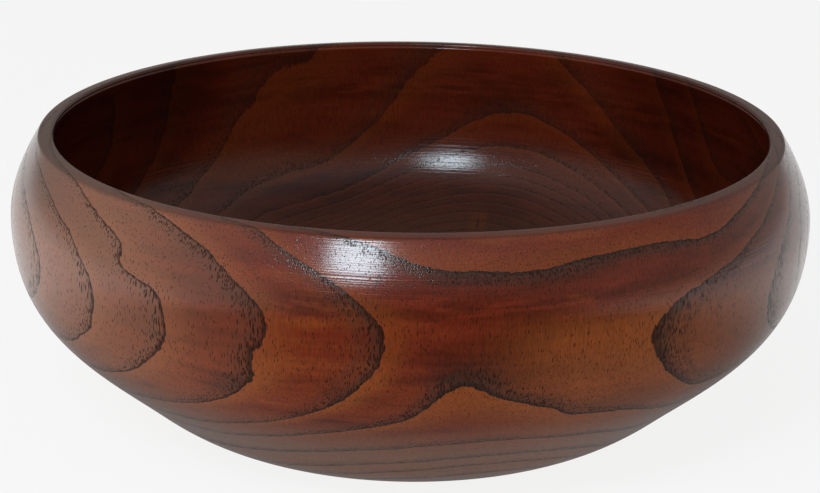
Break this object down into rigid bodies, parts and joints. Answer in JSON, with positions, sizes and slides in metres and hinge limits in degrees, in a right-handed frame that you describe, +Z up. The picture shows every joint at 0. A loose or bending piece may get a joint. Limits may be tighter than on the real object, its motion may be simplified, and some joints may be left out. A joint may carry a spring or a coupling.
{
  "type": "wooden bowl",
  "caption": "Lathe-turned round wooden bowl with a wide belly, drawn-in rim and softly rounded foot, for serving fruit or food.",
  "frame": {"origin": "centre of the foot ring, on the plane the bowl stands on", "axes": "+Z up along the turning axis, through the middle of the opening; the bowl is round, so X and Y are free"},
  "size_m": [0.3, 0.3, 0.1145],
  "materials": {
    "lacquered_wood": "red-brown end-grain wood under a clear satin-gloss lacquer"
  },
  "bodies": {
    "root": {"bowl": "lacquered_wood"}
  },
  "joints": []
}
